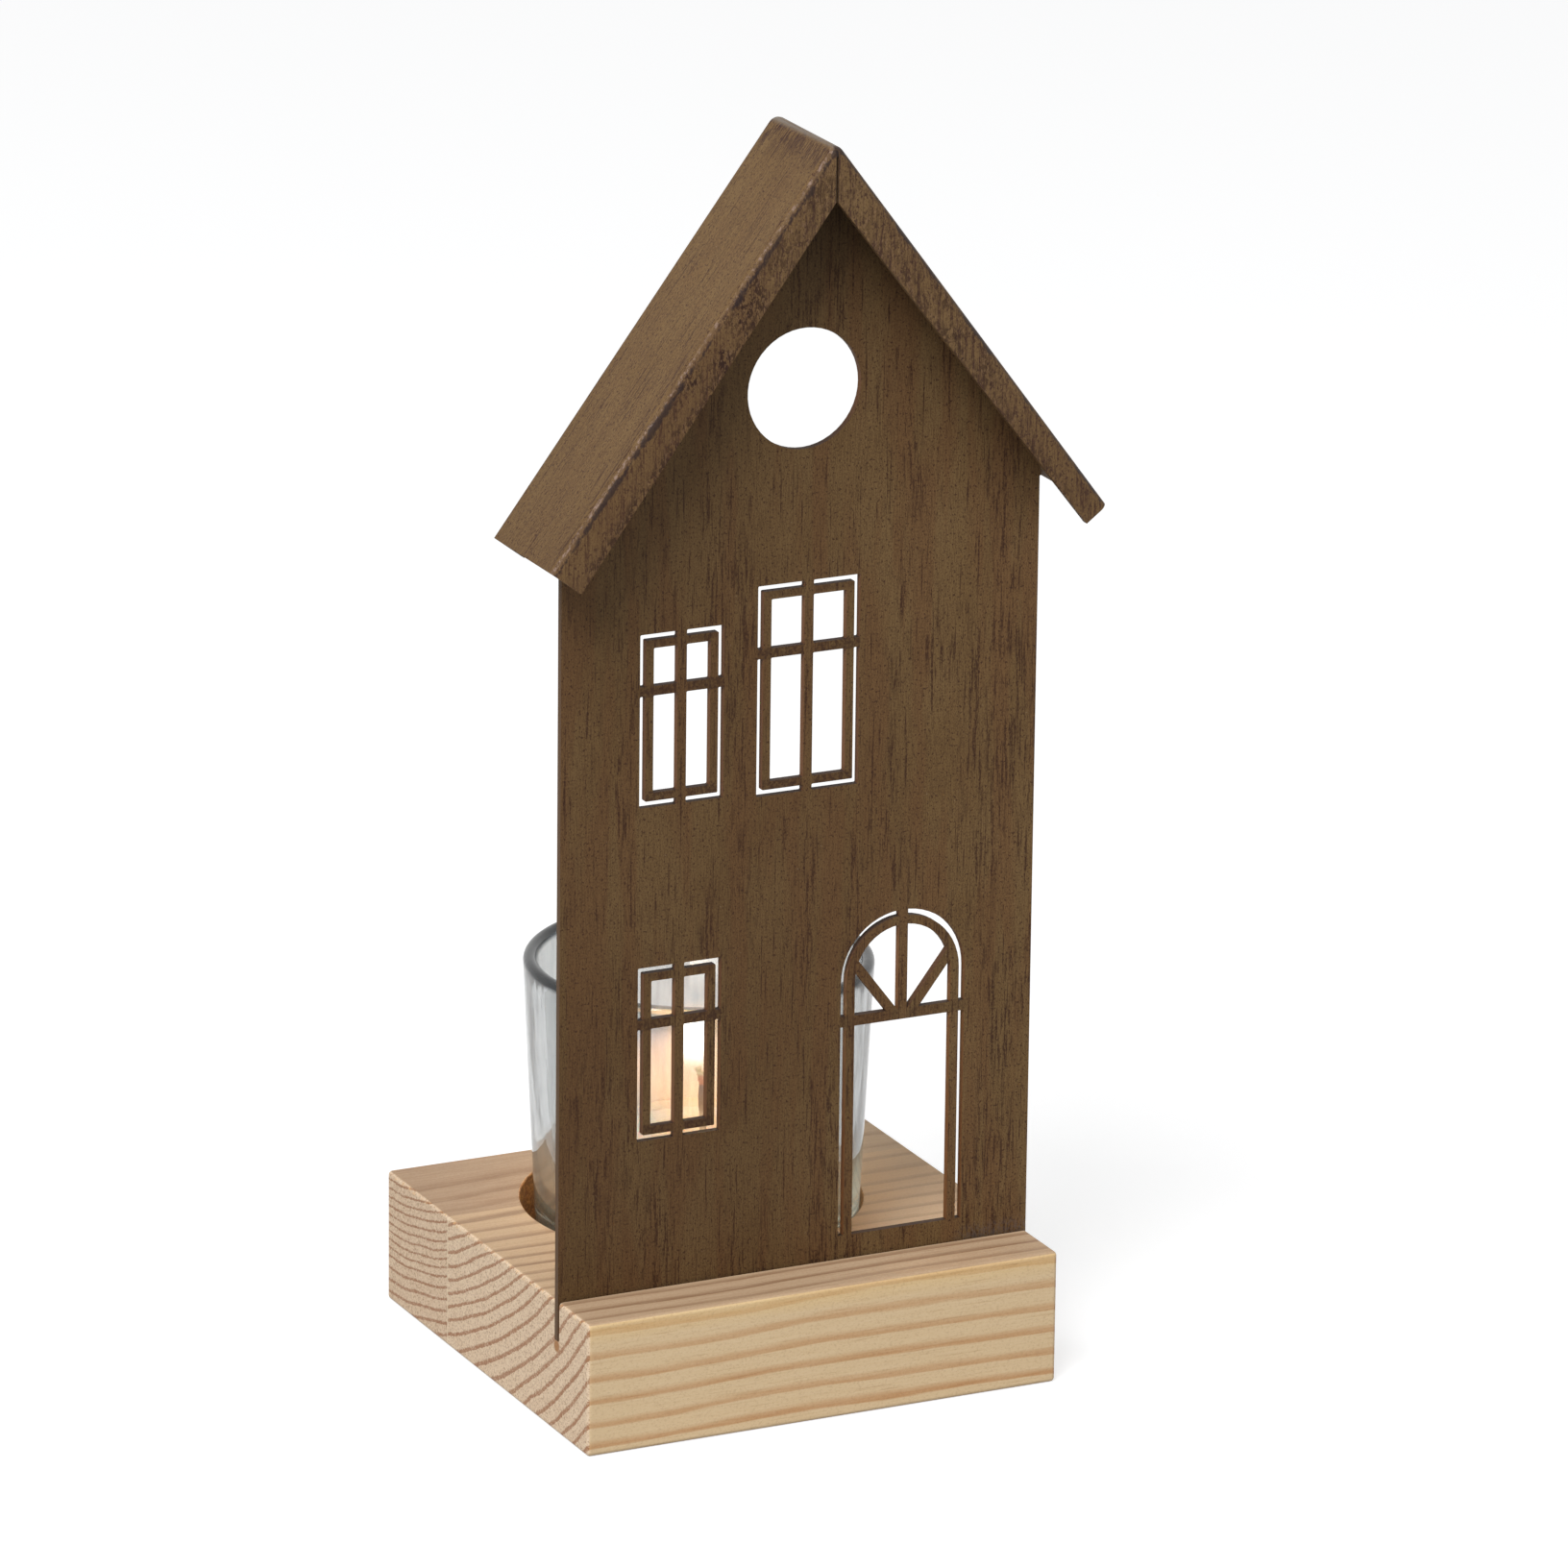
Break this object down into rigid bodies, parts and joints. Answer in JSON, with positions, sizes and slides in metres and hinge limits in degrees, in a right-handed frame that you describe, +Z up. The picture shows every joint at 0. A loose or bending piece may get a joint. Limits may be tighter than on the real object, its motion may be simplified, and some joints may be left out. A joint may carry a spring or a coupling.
{
  "type": "tealight house",
  "caption": "Sheet-steel house front with cut-out windows under a folded roof, on a pine block that carries a glass cup and a tealight.",
  "frame": {"origin": "middle of the pine block's underside", "axes": "+X to the right seen from the front, -Y out of the front, +Z up"},
  "size_m": [0.1206, 0.099, 0.2621],
  "materials": {
    "pine": "planed, unfinished",
    "painted_steel": "matte brown paint, brushed and rubbed through at the folds",
    "glass": "clear, slightly wavy",
    "foil": "bright drawn foil",
    "wax": "smooth white wax",
    "wick_cotton": "charred at the top",
    "tab_steel": "thin tinned steel"
  },
  "bodies": {
    "house": {"base_front_board": "pine", "base_back_board": "pine", "house_front": "painted_steel", "roof": "painted_steel"},
    "cup": {"glass_cup": "glass"},
    "candle": {"tealight_cup": "foil", "tealight_wax": "wax", "wick": "wick_cotton", "wick_tab": "tab_steel"}
  },
  "joints": [
    {"name": "cup_lift", "type": "slide", "parent": "house", "child": "cup", "axis": [0, 0, 1], "range_m": [0, 0.06]},
    {"name": "candle_lift", "type": "slide", "parent": "cup", "child": "candle", "axis": [0, 0, 1], "range_m": [0, 0.065]}
  ]
}
